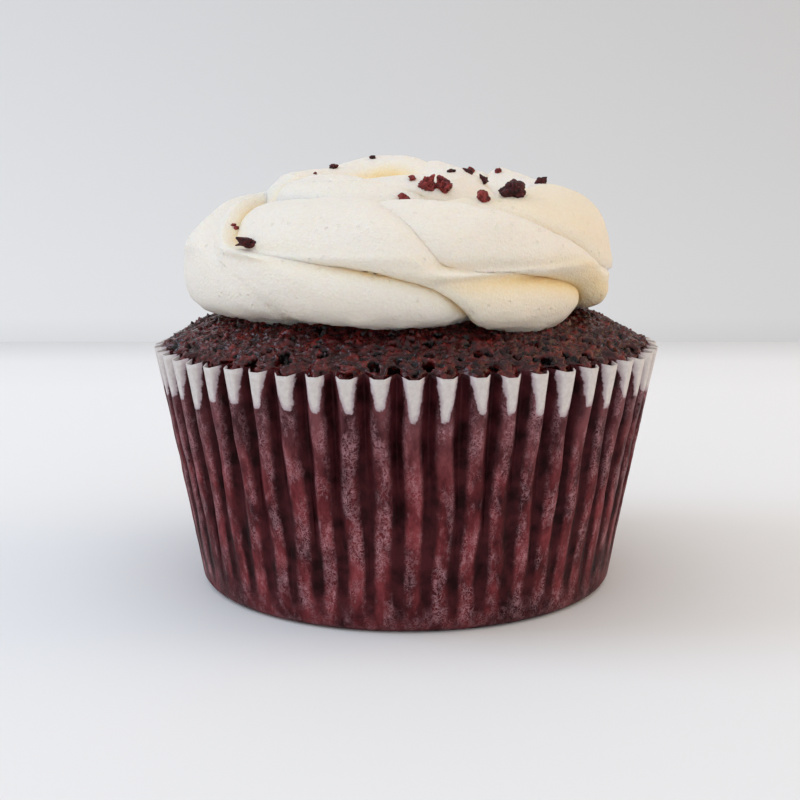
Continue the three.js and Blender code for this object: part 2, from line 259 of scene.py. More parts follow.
def set_attribute(piece, name, values):
    attribute = piece.data.attributes.new(name, "FLOAT", "POINT")
    attribute.data.foreach_set("value", np.asarray(values, np.float32).ravel())


def grid_normals(points, close_rows=False):
    """Unit normals of a grid of points whose columns close on themselves."""
    along = np.roll(points, -1, axis=1) - np.roll(points, 1, axis=1)
    if close_rows:
        up = np.roll(points, -1, axis=0) - np.roll(points, 1, axis=0)
    else:
        up = np.gradient(points, axis=0)
    normal = np.cross(along, up)
    return normal / np.maximum(np.linalg.norm(normal, axis=-1, keepdims=True), 1e-9)


def fractal(points, size, octaves=3, seed=0.0):
    """Smooth noise from about -1 to 1 at each point, its largest lumps about size millimetres across."""
    shift = Vector((seed, 1.7 * seed, -2.3 * seed))
    flat = points.reshape(-1, 3) / size
    values = [noise.fractal(Vector(p) + shift, 1.0, 2.0, octaves) for p in flat]
    return np.array(values).reshape(points.shape[:-1])


# spreads the cells' random values, which would be alike in cells close together
CELL_SPREAD = 37.3
# a pit's rim, as shares of the pit's radius: how far out its crest is, and how wide it is
PIT_RIM_AT = 1.3
PIT_RIM_WIDTH = 0.25


def pits(points, spacing, smallest, largest, share, seed, rim=0.0):
    """How deep each point lies in a round pit, in millimetres; one pit in each of a share of the cells.

    With a rim, the surface rises round each pit, which is given as a depth below zero.
    """
    shift = Vector((seed, -seed, 2 * seed))
    depth = np.zeros(points.reshape(-1, 3).shape[0])
    for i, p in enumerate(points.reshape(-1, 3) / spacing):
        distances, centres = noise.voronoi(Vector(p) + shift)
        draw = noise.cell(centres[0] * CELL_SPREAD)
        if draw > share:
            continue
        radius = smallest + (largest - smallest) * (draw / share) ** 2
        near = distances[0] * spacing / radius
        if near < 1:
            depth[i] = radius * math.sqrt(1 - near * near)
        elif rim:
            depth[i] = -rim * radius * math.exp(-(((near - PIT_RIM_AT) / PIT_RIM_WIDTH) ** 2))
    return depth.reshape(points.shape[:-1])


# ---- node materials ----


class Shader:
    """A material's node tree around one Principled shader."""

    def __init__(self, name, **constants):
        self.material = bpy.data.materials.new(name)
        self.material.use_nodes = True
        self.tree = self.material.node_tree
        self.shader = self.tree.nodes["Principled BSDF"]
        for key, value in constants.items():
            self.shader.inputs[key.replace("_", " ").title().replace("Ior", "IOR")].default_value = value
        self.place = self.node("TexCoord").outputs["Object"]

    def feed(self, socket, value):
        """Sets an input to a number, a colour or a vector, or links it to an output."""
        if isinstance(value, (int, float)):
            socket.default_value = value
        elif isinstance(value, tuple):
            socket.default_value = (*value, 1.0)[: len(socket.default_value)]
        else:
            self.tree.links.new(value, socket)

    def node(self, kind, **inputs):
        node = self.tree.nodes.new("ShaderNode" + kind)
        for name, value in inputs.items():
            self.feed(node.inputs[name], value)
        return node

    def attribute(self, name):
        node = self.node("Attribute")
        node.attribute_name = name
        return node.outputs["Fac"]

    def noise(self, size, detail=3.0, roughness=0.55, distortion=0.0, stretch=None):
        """Noise whose lumps are about size millimetres across, squeezed by stretch along X, Y and Z."""
        source = self.place
        if stretch:
            source = self.node("Mapping", Vector=source, Scale=stretch).outputs["Vector"]
        form = {"Scale": 1 / (size * MM), "Detail": detail, "Roughness": roughness, "Distortion": distortion}
        return self.node("TexNoise", Vector=source, **form).outputs["Fac"]

    def cells(self, size):
        """Distance to the nearest of scattered points, 0 at a point, in cells about size millimetres across."""
        return self.node("TexVoronoi", Vector=self.place, Scale=1 / (size * MM)).outputs["Distance"]

    def height(self):
        """Millimetres above the table."""
        return self.math("MULTIPLY", self.node("SeparateXYZ", Vector=self.place).outputs["Z"], 1 / MM)

    def ramp(self, source, stops):
        """A colour ramp: stops are (position, colour), and a grey is given as one number."""
        node = self.node("ValToRGB", Fac=source)
        elements = node.color_ramp.elements
        while len(elements) < len(stops):
            elements.new(0.5)
        for element, (position, colour) in zip(elements, stops):
            element.position = position
            rgb = (colour,) * 3 if isinstance(colour, (int, float)) else colour
            element.color = (*rgb, 1.0)
        return node.outputs["Color"]

    def fade(self, source, low, high, first=0.0, last=1.0):
        """A grey that goes from first to last as the source goes from low to high."""
        return self.ramp(source, [(low, first), (high, last)])

    def threads(self, size, thickness, distortion):
        """Thin curly lines, 1 along each line: where a noise passes through its middle value."""
        curly = self.noise(size, detail=2, roughness=0.5, distortion=distortion)
        away = self.math("ABSOLUTE", self.math("SUBTRACT", curly, 0.5))
        return self.fade(away, 0.0, thickness, 1.0, 0.0)

    def math(self, operation, first, second=0.0):
        node = self.node("Math")
        node.operation = operation
        for socket, value in zip(node.inputs, (first, second)):
            self.feed(socket, value)
        return node.outputs["Value"]

    def mix(self, factor, first, second):
        """A mix of two colours, each a socket or a colour."""
        node = self.node("Mix")
        node.data_type = "RGBA"
        for socket, value in zip([s for s in node.inputs if s.enabled], (factor, first, second)):
            self.feed(socket, value)
        return next(s for s in node.outputs if s.enabled)

    def bump(self, height, distance, strength=1.0, **below):
        """Relief from a grey socket, distance millimetres high; Normal is the relief below it."""
        return self.node("Bump", Height=height, Distance=distance * MM, Strength=strength, **below).outputs["Normal"]

    def finish(self, colour, roughness=None, normal=None):
        """Links what the shader takes from the node tree, and gives the finished material."""
        for name, source in (("Base Color", colour), ("Roughness", roughness), ("Normal", normal)):
            if source is not None:
                self.feed(self.shader.inputs[name], source)
        return self.material


CREAM_DEEP = (0.80, 0.72, 0.605)
CREAM_LIGHT = (0.84, 0.77, 0.68)
CREAM_SPECKLE = (0.94, 0.92, 0.87)
# golden painted shade, from pale to deep, for the frosting's creases, its hollow and the folds turned from the light
SHADE_GOLD_PALE = (0.86, 0.74, 0.50)
SHADE_GOLD_MIDDLE = (0.86, 0.64, 0.31)
SHADE_GOLD_DEEP = (0.70, 0.40, 0.12)
# how far red, green and blue light spread in the frosting, as shares of its subsurface scale
CREAM_SPREAD = (1.0, 0.62, 0.30)

CRUST_DARK = (0.050, 0.0045, 0.0055)
CRUST_RED = (0.090, 0.0065, 0.0065)
CRUST_LIGHT = (0.170, 0.0115, 0.0085)
# painted shade: between the lumps, in the low places, and near black in the pores, where some dark red crumb shows
CRUST_GAP_SHADE = (0.026, 0.0025, 0.0029)
CRUST_LOW_SHADE = (0.021, 0.0021, 0.0024)
PORE_SHADE = (0.003, 0.0004, 0.0005)
PORE_RED = (0.060, 0.003, 0.002)
EDGE_DARK = (0.04, 0.003, 0.004)
EDGE_RED = (0.26, 0.020, 0.017)

SOAKED_DARK = (0.026, 0.0045, 0.006)
SOAKED_RED = (0.106, 0.0160, 0.019)
SOAKED_LIGHT = (0.215, 0.0390, 0.044)
GREYISH_DARK = (0.024, 0.007, 0.008)
GREYISH_LIGHT = (0.130, 0.0600, 0.066)
VALLEY_DARK = (0.014, 0.0022, 0.0028)
VALLEY_RED = (0.060, 0.0110, 0.0135)
FIBRE_PALE = (0.56, 0.30, 0.33)
TONGUE_GREY = (0.57, 0.515, 0.485)
TONGUE_WHITE = (0.68, 0.625, 0.595)
TONGUE_DAMP = (0.42, 0.33, 0.35)

# each kind of crumb: its dark and its bright grains
CRUMB_COLOURS = {
    "dark": ((0.012, 0.0012, 0.0016), (0.10, 0.009, 0.010)),
    "red": ((0.060, 0.0040, 0.0045), (0.34, 0.045, 0.042)),
}


def frosting_material():
    """Cream cheese frosting: off-white and finely bubbled, with golden painted shade down in its creases."""
    scatter = {"subsurface_weight": 0.3, "subsurface_scale": 2.5 * MM, "subsurface_radius": CREAM_SPREAD}
    s = Shader("cream_frosting", specular_ior_level=0.3, **scatter)
    # the crease attribute is painted shade: the deeper the crease, the deeper the golden shade
    crease_shade = s.attribute("crease_shade")
    cream = s.mix(s.noise(7, detail=2), CREAM_DEEP, CREAM_LIGHT)
    golden = s.ramp(crease_shade, [(0.0, SHADE_GOLD_PALE), (0.5, SHADE_GOLD_MIDDLE), (1.0, SHADE_GOLD_DEEP)])
    colour = s.mix(s.fade(crease_shade, 0.05, 0.55), cream, golden)
    speckle = s.fade(s.noise(0.38, roughness=0.65), 0.42, 0.62, last=0.16)
    colour = s.mix(speckle, colour, CREAM_SPECKLE)
    grain = s.bump(s.noise(0.32, roughness=0.6), distance=0.20)
    bubbles = s.fade(s.cells(1.6), 0.07, 0.16)
    bubbly = s.bump(bubbles, distance=0.14, strength=0.8, Normal=grain)
    uneven = s.noise(1.3, detail=4, roughness=0.6)
    normal = s.bump(uneven, distance=0.20, strength=0.5, Normal=bubbly)
    rough = s.fade(s.noise(0.5, detail=2), 0.35, 0.7, 0.34, 0.55)
    return s.finish(colour, rough, normal)


def cake_material():
    """The baked crust: dark red lumps, glossy where they swell, with painted shade between them and in its low
    places, and near black painted shade in the pores.
    """
    s = Shader("red_cake_crust", specular_ior_level=0.08, coat_weight=0.45, coat_roughness=0.05)
    crust = s.ramp(s.noise(2.2, roughness=0.6), [(0.36, CRUST_DARK), (0.5, CRUST_RED), (0.66, CRUST_LIGHT)])
    lumps = s.cells(0.95)
    domes = s.math("SUBTRACT", 1.0, s.math("MULTIPLY", lumps, lumps))
    # painted shade between the lumps and in the low places
    crust = s.mix(s.fade(lumps, 0.42, 0.70, last=0.8), crust, CRUST_GAP_SHADE)
    crust = s.mix(s.fade(s.attribute("low"), 0.1, 0.9, last=0.75), crust, CRUST_LOW_SHADE)
    # painted shade in the pores: near black, with dark red crumb in places
    pore_shade_colour = s.mix(s.fade(s.noise(1.5, detail=2), 0.5, 0.62), PORE_SHADE, PORE_RED)
    colour = s.mix(s.fade(s.attribute("pore_shade"), 0.02, 0.14), crust, pore_shade_colour)
    lobe = s.mix(s.noise(0.7, roughness=0.7), EDGE_DARK, EDGE_RED)
    colour = s.mix(s.fade(s.attribute("edge"), 0.25, 1.0, last=0.7), colour, lobe)
    fine = s.bump(s.noise(0.35, detail=2, roughness=0.5), distance=0.06, strength=0.7)
    normal = s.bump(domes, distance=0.8, Normal=fine)
    rough = s.fade(s.noise(0.9, detail=2), 0.42, 0.58, 0.12, 0.5)
    return s.finish(colour, rough, normal)


def paper_material():
    """Greaseproof paper, soaked dark red where it touches the cake and white where the pleats stand off it; its
    valleys are darker from soaking and from painted shade.
    """
    s = Shader("baked_paper", specular_ior_level=0.06)
    blotch = s.noise(3.2, detail=4, roughness=0.65, stretch=(1, 1, 0.55))
    soaked = s.ramp(blotch, [(0.34, SOAKED_DARK), (0.5, SOAKED_RED), (0.66, SOAKED_LIGHT)])
    greyish = s.ramp(blotch, [(0.38, GREYISH_DARK), (0.62, GREYISH_LIGHT)])
    # greyer towards the rim: the ramp's places are shares of a height of 100/3 mm
    higher = s.fade(s.math("MULTIPLY", s.height(), 0.03), 0.52, 0.78, last=0.6)
    soaked = s.mix(higher, soaked, greyish)
    # fibres and flecks of air show pale on the crests, in patches
    slow_curls = s.threads(1.5, thickness=0.04, distortion=2.6)
    fast_curls = s.threads(0.9, thickness=0.04, distortion=1.8)
    curls = s.math("MULTIPLY", s.math("MAXIMUM", slow_curls, fast_curls), 0.75)
    speckled = s.noise(0.55, detail=4, roughness=0.75, distortion=0.8, stretch=(1, 1, 0.6))
    flecks = s.fade(speckled, 0.5, 0.68)
    patches = s.fade(s.noise(2.0, roughness=0.65, stretch=(1, 1, 0.45)), 0.44, 0.62, 0.03, 1.0)
    pale = s.math("MULTIPLY", s.math("MAXIMUM", curls, flecks), patches)
    ridge = s.mix(s.math("MULTIPLY", pale, 0.72), soaked, FIBRE_PALE)
    # the crests are lighter than the valleys, which are darker both from soaking and from painted shade, with an
    # uneven border between them
    deep = s.ramp(s.noise(2.5), [(0.35, VALLEY_DARK), (0.65, VALLEY_RED)])
    wander = s.math("MULTIPLY", s.math("SUBTRACT", s.noise(1.2), 0.5), 0.5)
    uneven = s.math("ADD", s.attribute("crest"), wander)
    stained_and_shaded = s.mix(s.fade(uneven, 0.18, 0.72), deep, ridge)
    # the white tongues have a ragged and damp margin
    white = s.ramp(s.noise(0.5, detail=4, roughness=0.7), [(0.35, TONGUE_GREY), (0.7, TONGUE_WHITE)])
    torn = s.noise(1.1, detail=4, roughness=0.7)
    ragged = s.math("MULTIPLY", s.math("SUBTRACT", torn, 0.5), 0.7)
    margin = s.math("ADD", s.attribute("margin"), ragged)
    damp = s.mix(s.fade(margin, 0.1, 0.5), TONGUE_DAMP, white)
    colour = s.mix(s.fade(margin, 0.0, 0.12), stained_and_shaded, damp)
    fibrous = s.noise(0.5, detail=4, roughness=0.7, distortion=1.2)
    normal = s.bump(fibrous, distance=0.06, strength=0.6)
    rough = s.fade(flecks, 0.0, 1.0, 0.45, 0.7)
    return s.finish(colour, rough, normal)


def crumb_material(name, dark, light):
    """A dry cake crumb, grainy, with a few brighter grains."""
    s = Shader(name, specular_ior_level=0.3)
    colour = s.ramp(s.noise(0.45, roughness=0.7), [(0.38, dark), (0.66, light)])
    normal = s.bump(s.noise(0.25, roughness=0.7), distance=0.1, strength=0.8)
    rough = s.fade(s.noise(0.6, detail=2), 0.3, 0.7, 0.4, 0.8)
    return s.finish(colour, rough, normal)


def dress(piece, material, slot, *nodes):
    """Gives a piece its material and its place in the frame."""
    piece.data.materials.append(material)
    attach(piece, "root")
    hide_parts(*nodes)


# ---- the pleats that paper and cake share ----

# places across a pleat, 0 at the crest and -0.5 and 0.5 at its valleys; they crowd at the crest's two creases
HALF_STOPS = (0.085, 0.15, 0.19, 0.25, 0.32, 0.39, 0.45)
ACROSS_STOPS = (-0.5, *(-f for f in reversed(HALF_STOPS)), 0.0, *HALF_STOPS)
STOPS = (-CREST_SHARE / 2, CREST_SHARE / 2, 0.5)
PLEAT_WANDER = 0.08
# a valley's least depth and how much deeper it may be, as shares of PLEAT_DEPTH
LEAST_DEPTH = 0.8
DEPTH_SPREAD = 0.25
CREASE_ROUNDING = 0.01


def pleat_table():
    """Azimuth of each crest's middle and of the valley after it, and that valley's depth.

    Every draw is taken as the part takes it, so a draw that isn't needed here is thrown away.
    """
    draw = seeded_random(PAPER_SEED)
    crests, valleys, depths = [], [], []
    for pleat in range(PLEATS):
        corners = []
        for stop in STOPS:
            azimuth = (pleat + stop + PLEAT_WANDER * (draw() - 0.5)) * TURN / PLEATS + PLEAT_TURN
            if stop == STOPS[-1]:
                valleys.append(azimuth)
                depths.append(PLEAT_DEPTH * (LEAST_DEPTH + DEPTH_SPREAD * draw()))
            else:
                corners.append(azimuth)
                draw()
        crests.append(sum(corners) / 2)
    return np.array(crests), np.array(valleys), np.array(depths)


def pleat_columns():
    """For each mesh column: azimuth, place across its pleat, depth and pleat.

    The place is 0 at the crest and -0.5 and 0.5 at its valleys.
    """
    crests, valleys, depths = pleat_table()
    azimuth, across, depth, number = [], [], [], []
    for pleat in range(PLEATS):
        before = valleys[pleat - 1] - (TURN if pleat == 0 else 0)
        for f in ACROSS_STOPS:
            reach = valleys[pleat] if f > 0 else before
            azimuth.append(crests[pleat] + abs(f) * 2 * (reach - crests[pleat]))
            across.append(f)
            depth.append(depths[pleat] if f > 0 else depths[pleat - 1])
            number.append(pleat)
    return tuple(np.array(v) for v in (azimuth, across, depth, number))


AZIMUTH, ACROSS, DEPTH, PLEAT = pleat_columns()
# how far each column is down its pleat's flank: 0 on the crest, 1 in the valley, with a rounded crease
FLANK = (np.abs(ACROSS) * 2 - CREST_SHARE) / (1 - CREST_SHARE)
VALLEYNESS = (FLANK + np.sqrt(FLANK**2 + CREASE_ROUNDING)) / 2


def paper_radius(height, slack=None):
    """Outer radius of the paper at each column (last axis) for each height (first axis)."""
    up = np.clip((height - BASE_BEND) / (RIM_HEIGHT - BASE_BEND), 0, None)
    pleated = 1.0 if slack is None else slack
    return BASE_RADIUS + (RIM_RADIUS - BASE_RADIUS) * up - DEPTH * VALLEYNESS * up * pleated


# ---- the paper case ----


PAPER_ROWS = 46
PAPER_DRAWS = 31
BEND_STEPS = 4
PAPER_FLOOR_RINGS = (9.0, 20.0)
RIM_RAGGED = 0.12
# a pleat fades in round a height that is drawn for it, from this far below to this far above
FADE_FROM = (1.0, 5.0)
FADE_BEFORE = 3
FADE_AFTER = 6
# waves up a pleat: how strong, how fast, and how differently each pleat's begins; a sway is in degrees
SLOW_SWAY = (0.55, 5, 3)
FAST_SWAY = (0.35, 11, 6)
SLACK_WAVE = (0.5, 9, 6)
SLACK_DEPTH = 0.35
# where they die out, as shares of the climb, and how much less a valley sways than a crest
SWAY_FOOT = (0.0, 0.25)
SWAY_RIM = (1.0, 0.6)
SLACK_RIM = (0.75, 0.3)
VALLEY_STIFFNESS = 0.5
WRINKLE_DEPTH = 0.10
WRINKLE_SIZE = 3.0

TONGUE_LENGTH = 5.0
TONGUE_SPREAD = (-1.0, 0.7)
TONGUE_LEAN = 0.3
TONGUE_HALF_WIDTH = 1.36
# the paper stands freer at the left and right, so the tongues there are longer and wider
SIDE_LENGTH = 1.3
SIDE_WIDTH = 0.35
TONGUE_TAPER = 0.86
TONGUE_BLUNTNESS = 0.8
TONGUE_ROUNDING = 0.12
FARTHEST = 8
# a crest ends between these places across its pleat, and is worn away between these heights
CREST_END = (0.43, 0.05)
WORN_HEIGHTS = (0.5, 6)


def wave(form, climb, phase):
    strength, speed, mixed = form
    return strength * np.sin(speed * climb + mixed * phase)


def build_paper_case():
    random = np.random.default_rng(PAPER_DRAWS)
    climb = np.linspace(0, 1, PAPER_ROWS)[:, None]
    lift = VALLEY_LIFT * VALLEYNESS + RIM_RAGGED * random.standard_normal(PLEATS)[PLEAT] * (1 - VALLEYNESS)
    height = BASE_BEND + (RIM_HEIGHT + lift - BASE_BEND) * climb
    fade_from = random.uniform(*FADE_FROM, PLEATS)[PLEAT]
    slack = smoothstep(fade_from - FADE_BEFORE, fade_from + FADE_AFTER, height)
    wander = [random.uniform(-1, 1, PLEATS)[PLEAT] for _ in range(3)]
    # each pleat wavers a little, most in its middle and lower parts
    sway = wave(SLOW_SWAY, climb, wander[0]) * wander[1] + wave(FAST_SWAY, climb, wander[2])
    sway = sway * smoothstep(*SWAY_FOOT, climb) * smoothstep(*SWAY_RIM, climb) * (1 - VALLEY_STIFFNESS * VALLEYNESS)
    slack = slack * (1 - SLACK_DEPTH * smoothstep(*SLACK_RIM, climb) * (0.5 + wave(SLACK_WAVE, climb, wander[0])))
    radius = paper_radius(height, slack)
    wrinkle = fractal(place(radius, AZIMUTH, height), WRINKLE_SIZE, octaves=3, seed=4.0)
    radius = radius - WRINKLE_DEPTH * (1 + wrinkle) * np.clip(4 * climb * (1 - climb), 0, 1)
    wall = place(radius, AZIMUTH + sway, height)

    bend = []
    for step in range(BEND_STEPS):
        turn = step / BEND_STEPS * math.pi / 2
        r = BASE_RADIUS - BASE_BEND + BASE_BEND * math.sin(turn)
        bend.append(place(np.full_like(AZIMUTH, r), AZIMUTH, BASE_BEND * (1 - math.cos(turn))))
    floor = [place(np.full_like(AZIMUTH, r), AZIMUTH, 0.0) for r in PAPER_FLOOR_RINGS]
    outer = np.concatenate([np.array(floor), np.array(bend), wall])
    inner = outer - PAPER * grid_normals(outer)
    inner[..., 2] = np.where(outer[..., 2] > BASE_BEND, outer[..., 2], inner[..., 2])
    points = np.concatenate([outer, inner[::-1]])
    all_points = np.concatenate([points.reshape(-1, 3), [(0, 0, 0), (0, 0, PAPER)]])
    piece = new_mesh("pleated_paper", all_points, closed_faces(len(points), len(AZIMUTH)))

    # "margin" is how far inside a white tongue a point lies; the tongues are widest at the rim, with blunt ends
    sideways = np.sin(AZIMUTH * RAD) ** 2
    below = RIM_HEIGHT + VALLEY_LIFT - outer[..., 2]
    pitch = 2 * math.pi * RIM_RADIUS / PLEATS
    length = (TONGUE_LENGTH + random.uniform(*TONGUE_SPREAD, PLEATS))[PLEAT] + SIDE_LENGTH * sideways
    lean = random.uniform(-TONGUE_LEAN, TONGUE_LEAN, PLEATS)[PLEAT]
    down = np.clip(below / length, 0, 3)
    half_width = TONGUE_HALF_WIDTH + SIDE_WIDTH * sideways - TONGUE_TAPER * down
    side = half_width - np.abs(ACROSS * pitch + lean * down)
    end = np.clip(TONGUE_BLUNTNESS * (length - below), -FARTHEST, FARTHEST)
    nearness = np.exp(-side / TONGUE_ROUNDING) + np.exp(-end / TONGUE_ROUNDING)
    margin = -np.log(nearness) * TONGUE_ROUNDING
    # "crest" is 1 on the crests and 0 in the valleys, and half of both at the foot
    ridge = smoothstep(*CREST_END, np.abs(ACROSS))
    worn = smoothstep(*WORN_HEIGHTS, outer[..., 2])
    crest = ridge * worn + 0.5 * (1 - worn)
    for name, values in (("margin", margin), ("crest", crest)):
        both = np.concatenate([values, values[::-1]]).ravel()
        set_attribute(piece, name, np.append(both, (values[0, 0], values[0, 0])))
    dress(piece, paper_material(), "paper", "paper_case")


# ---- the cake ----


CRUST_ROWS = 96
CRUST_CROWDING = 1.1
CRUST_INMOST = 21.0
CAKE_MIDDLE = 10.0
# the crust's edge follows the pleats and rolls down over these shares of the way in from it
PLEATED_SHARE = 0.30
ROLLED_SHARE = 0.11
RED_SHARE = 0.16
EDGE_INSET = 0.9
EDGE_DROP = 0.7
# heights of the rings of the cake's wall, and how far they stand in from its edge
WALL_HEIGHTS = (24.0, 12.0, 4.0)
WALL_INSET = 0.35
FLOOR_GAP = 0.2
# how strong each kind of relief is
SWELL_DEPTH = 0.20
GRAIN_DEPTH = 0.30
BUBBLE_DEPTH = 0.75
BIG_PIT_DEPTH = 1.7
SMALL_PIT_DEPTH = 1.4
CRUST_SUNK = 0.30
# shares of the way in where the relief dies out
RELIEF_EDGE = (0, 0.04)
RELIEF_INSIDE = (1.0, 0.93)
# the low places, where neither grains nor bubbles rise, which are painted darker as shade
GRAIN_MIDDLE = 0.35
GRAIN_WEIGHT = 0.26
BUBBLE_WEIGHT = 0.45
LOW_RISE = (0.05, -0.16)


def dome_height(radius):
    out = np.minimum(1, np.asarray(radius) / DOME_RADIUS)
    return CAKE_EDGE_HEIGHT + DOME_RISE * (1 - out**2) ** DOME_POWER


def build_cake():
    # from the crust's edge, 0, to the ring where it lies hidden under the frosting, 1
    inward = np.linspace(0, 1, CRUST_ROWS)[:, None] ** CRUST_CROWDING
    edge = paper_radius(np.array([[CAKE_EDGE_HEIGHT]])) - PAPER - CAKE_GAP
    radius = edge * (1 - inward) + CRUST_INMOST * inward
    smooth_edge = RIM_RADIUS - EDGE_INSET - PAPER
    pleating = smoothstep(PLEATED_SHARE, 0.0, inward)
    smooth_radius = smooth_edge * (1 - inward) + CRUST_INMOST * inward
    radius = radius * pleating + smooth_radius * (1 - pleating)
    height = dome_height(DOME_RADIUS * (1 - inward) + CRUST_INMOST * inward)
    height = height - EDGE_DROP * smoothstep(ROLLED_SHARE, 0.0, inward)
    crust = place(radius, AZIMUTH, height)

    normal = grid_normals(crust)
    big = pits(crust, spacing=1.7, smallest=0.40, largest=0.78, share=0.85, seed=3.0, rim=0.25)
    small = pits(crust, spacing=0.95, smallest=0.18, largest=0.34, share=0.62, seed=9.0)
    swells = SWELL_DEPTH * fractal(crust, 3.2, octaves=2, seed=1.0)
    grains = 0.5 - np.abs(fractal(crust, 0.95, octaves=3, seed=5.0))
    bubbles = pits(crust, spacing=0.72, smallest=0.20, largest=0.34, share=0.9, seed=14.0)
    calm = smoothstep(*RELIEF_EDGE, inward) * smoothstep(*RELIEF_INSIDE, inward)
    raised = swells + GRAIN_DEPTH * grains + BUBBLE_DEPTH * bubbles
    lift = raised - BIG_PIT_DEPTH * big - SMALL_PIT_DEPTH * small
    crust = crust + normal * (lift * calm - CRUST_SUNK)[..., None]

    walls = []
    for h in (CAKE_EDGE_HEIGHT, *WALL_HEIGHTS, BASE_BEND + FLOOR_GAP):
        inset = WALL_INSET * (h < CAKE_EDGE_HEIGHT)
        walls.append(place(paper_radius(np.array([[h]])) - 2 * PAPER - CAKE_GAP - inset, AZIMUTH, h)[0])
    inner = place(np.full_like(AZIMUTH, CAKE_MIDDLE), AZIMUTH, dome_height(CAKE_MIDDLE))
    points = np.concatenate([np.array(walls[::-1]), crust[1:], inner[None]])
    tips = [(0, 0, BASE_BEND + FLOOR_GAP), (0, 0, float(dome_height(0)))]
    all_points = np.concatenate([points.reshape(-1, 3), tips])
    piece = new_mesh("cake_crust", all_points, closed_faces(len(points), len(AZIMUTH)))

    # painted shade in the low places and in the pores
    low = smoothstep(*LOW_RISE, GRAIN_WEIGHT * (grains - GRAIN_MIDDLE) + BUBBLE_WEIGHT * bubbles)
    edge_red = np.broadcast_to(smoothstep(RED_SHARE, 0.0, inward), crust.shape[:2])
    pore_shade = (np.maximum(big, 0) + small) * calm
    for name, values in (("pore_shade", pore_shade), ("low", low * calm), ("edge", edge_red)):
        whole = np.zeros(points.shape[:2])
        whole[len(walls) : -1] = values[1:]
        set_attribute(piece, name, np.append(whole.ravel(), (0, 0)))
    dress(piece, cake_material(), "crumb", "cake")


# ---- the frosting ----

# a tube's mean radius, how far it sags and at which angle, and how much flatter it is at an angle and opposite it
RING_SECTION = (9.0, 1.5, -35, 0.4, 15)
INNER_SECTION = (6.0, 1.2, 0, -0.4, 0)
# angles round the tube between which the large turn's shoulder begins and ends
SHOULDER_FROM = (5, 45)
SHOULDER_TO = (110, 75)


def fold_azimuth(fold, angle):
    """Azimuth of a fold's groove at an angle round the tube: 0 faces out, 90 up."""
    above = logistic((angle - fold["mid"]) / 2)
    softness = SWEEP_BELOW + (SWEEP_ABOVE - SWEEP_BELOW) * above
    level = logistic((angle - fold["mid"]) / softness)
    lean = fold["lean"] * (np.clip(angle, LEAN_FROM, LEAN_TO) - FOOT_ANGLE)
    return fold["end"] - lean - fold["sweep"] * level


def fold_slope(fold, angle):
    """Degrees of azimuth for each degree round the tube, along a fold's groove."""
    return fold_azimuth(fold, angle + 0.5) - fold_azimuth(fold, angle - 0.5)


def section_radius(form, angle):
    mean, sag, sag_angle, flat, flat_angle = form
    return mean + sag * np.cos((angle - sag_angle) * RAD) - flat * np.cos(2 * (angle - flat_angle) * RAD)


def back_rise(rise, azimuth):
    """How much higher a turn lies: nothing at the front, the whole rise at the back."""
    return rise * (1 - np.cos(azimuth * RAD)) / 2


def ring_section(angle, azimuth):
    """The large turn's radius; its shoulder is fuller at +X than at -X, and low at the left."""
    shoulder = smoothstep(*SHOULDER_FROM, angle) * smoothstep(*SHOULDER_TO, angle)
    fuller = RING_SHOULDER * np.sin(azimuth * RAD) - LEFT_DROP * hump(DROP_SPAN, azimuth)
    return section_radius(RING_SECTION, angle) + shoulder * fuller


def ring_height(azimuth):
    return RING_HEIGHT + back_rise(RING_BACK_RISE, azimuth) + BACK_SWELL * hump(SWELL_SPAN, azimuth)


def inner_section(angle, azimuth):
    return np.broadcast_to(section_radius(INNER_SECTION, angle), azimuth.shape)


def inner_height(azimuth):
    rise = back_rise(INNER_BACK_RISE, azimuth)
    return INNER_HEIGHT + rise + INNER_HUMP * hump(HUMP_SPAN, azimuth)


# The two turns. "crowding" gathers the rows at the outer side, "ridge" is how far the folds stand out, "lip" how far
# they hang over, "calm_top" how much they fade on top, and "inner_gold" how much golden painted shade the inner
# side takes.
RING = {
    "folds": RING_FOLDS,
    "rows": 230,
    "crowding": 36,
    "centre": (FROSTING_OFFSET, 0),
    "path_radius": RING_RADIUS,
    "path_height": ring_height,
    "section": ring_section,
    "ridge": 0.9,
    "lip": 0.75,
    "calm_top": 0.0,
    "inner_gold": 0.0,
    "foot_cut": FOOT_CUT,
    "seed": 2.0,
}
INNER = {
    "folds": INNER_FOLDS,
    "rows": 150,
    "crowding": 0,
    "centre": INNER_CENTRE,
    "path_radius": INNER_RADIUS,
    "path_height": inner_height,
    "section": inner_section,
    "ridge": 0.5,
    "lip": 0.5,
    "calm_top": 0.85,
    "inner_gold": 0.62,
    "foot_cut": 0,
    "seed": 6.0,
}
# mesh columns on each side of a fold's ridge, crowded at the grooves, and the points along a groove
HALF_COLUMNS = 20
COLUMN_CROWDING = 1.5
GROOVE_SAMPLES = 1441
# a fold's ridge lies at these shares of its width, below and above the level stretch of the fold after it
RIDGE_SHARES = (0.08, 0.88)
RIDGE_BORDER = (2.5, 3.5)
# degrees from the middle of a groove's level stretch to its upper part, and to where it is shallowest
HIGH_BORDER = (8, 3)
LEVEL_SPAN = (3.5, 5.5)
LEVEL_FADE = 0.85
# how level a fold's profile starts: at every groove, more at a blunt one before or after it, and at a level stretch
LEAST_BLUNT = 0.02
BLUNT_BEFORE = 0.25
BLUNT_AFTER = 0.5
LEVEL_BLUNT = 0.4
LEVEL_ROUNDING = 1.2
SWELL_POWER = 0.7
CALM_ANGLES = (50, 100)
# the foot is cut back between these
FOOT_TOP = (-40, -5)
FOOT_BOTTOM = (-120, 8)
LIP_REACH = 1.5
LIP_ROUNDING = 0.3
LIP_HIGH_FADE = 0.7
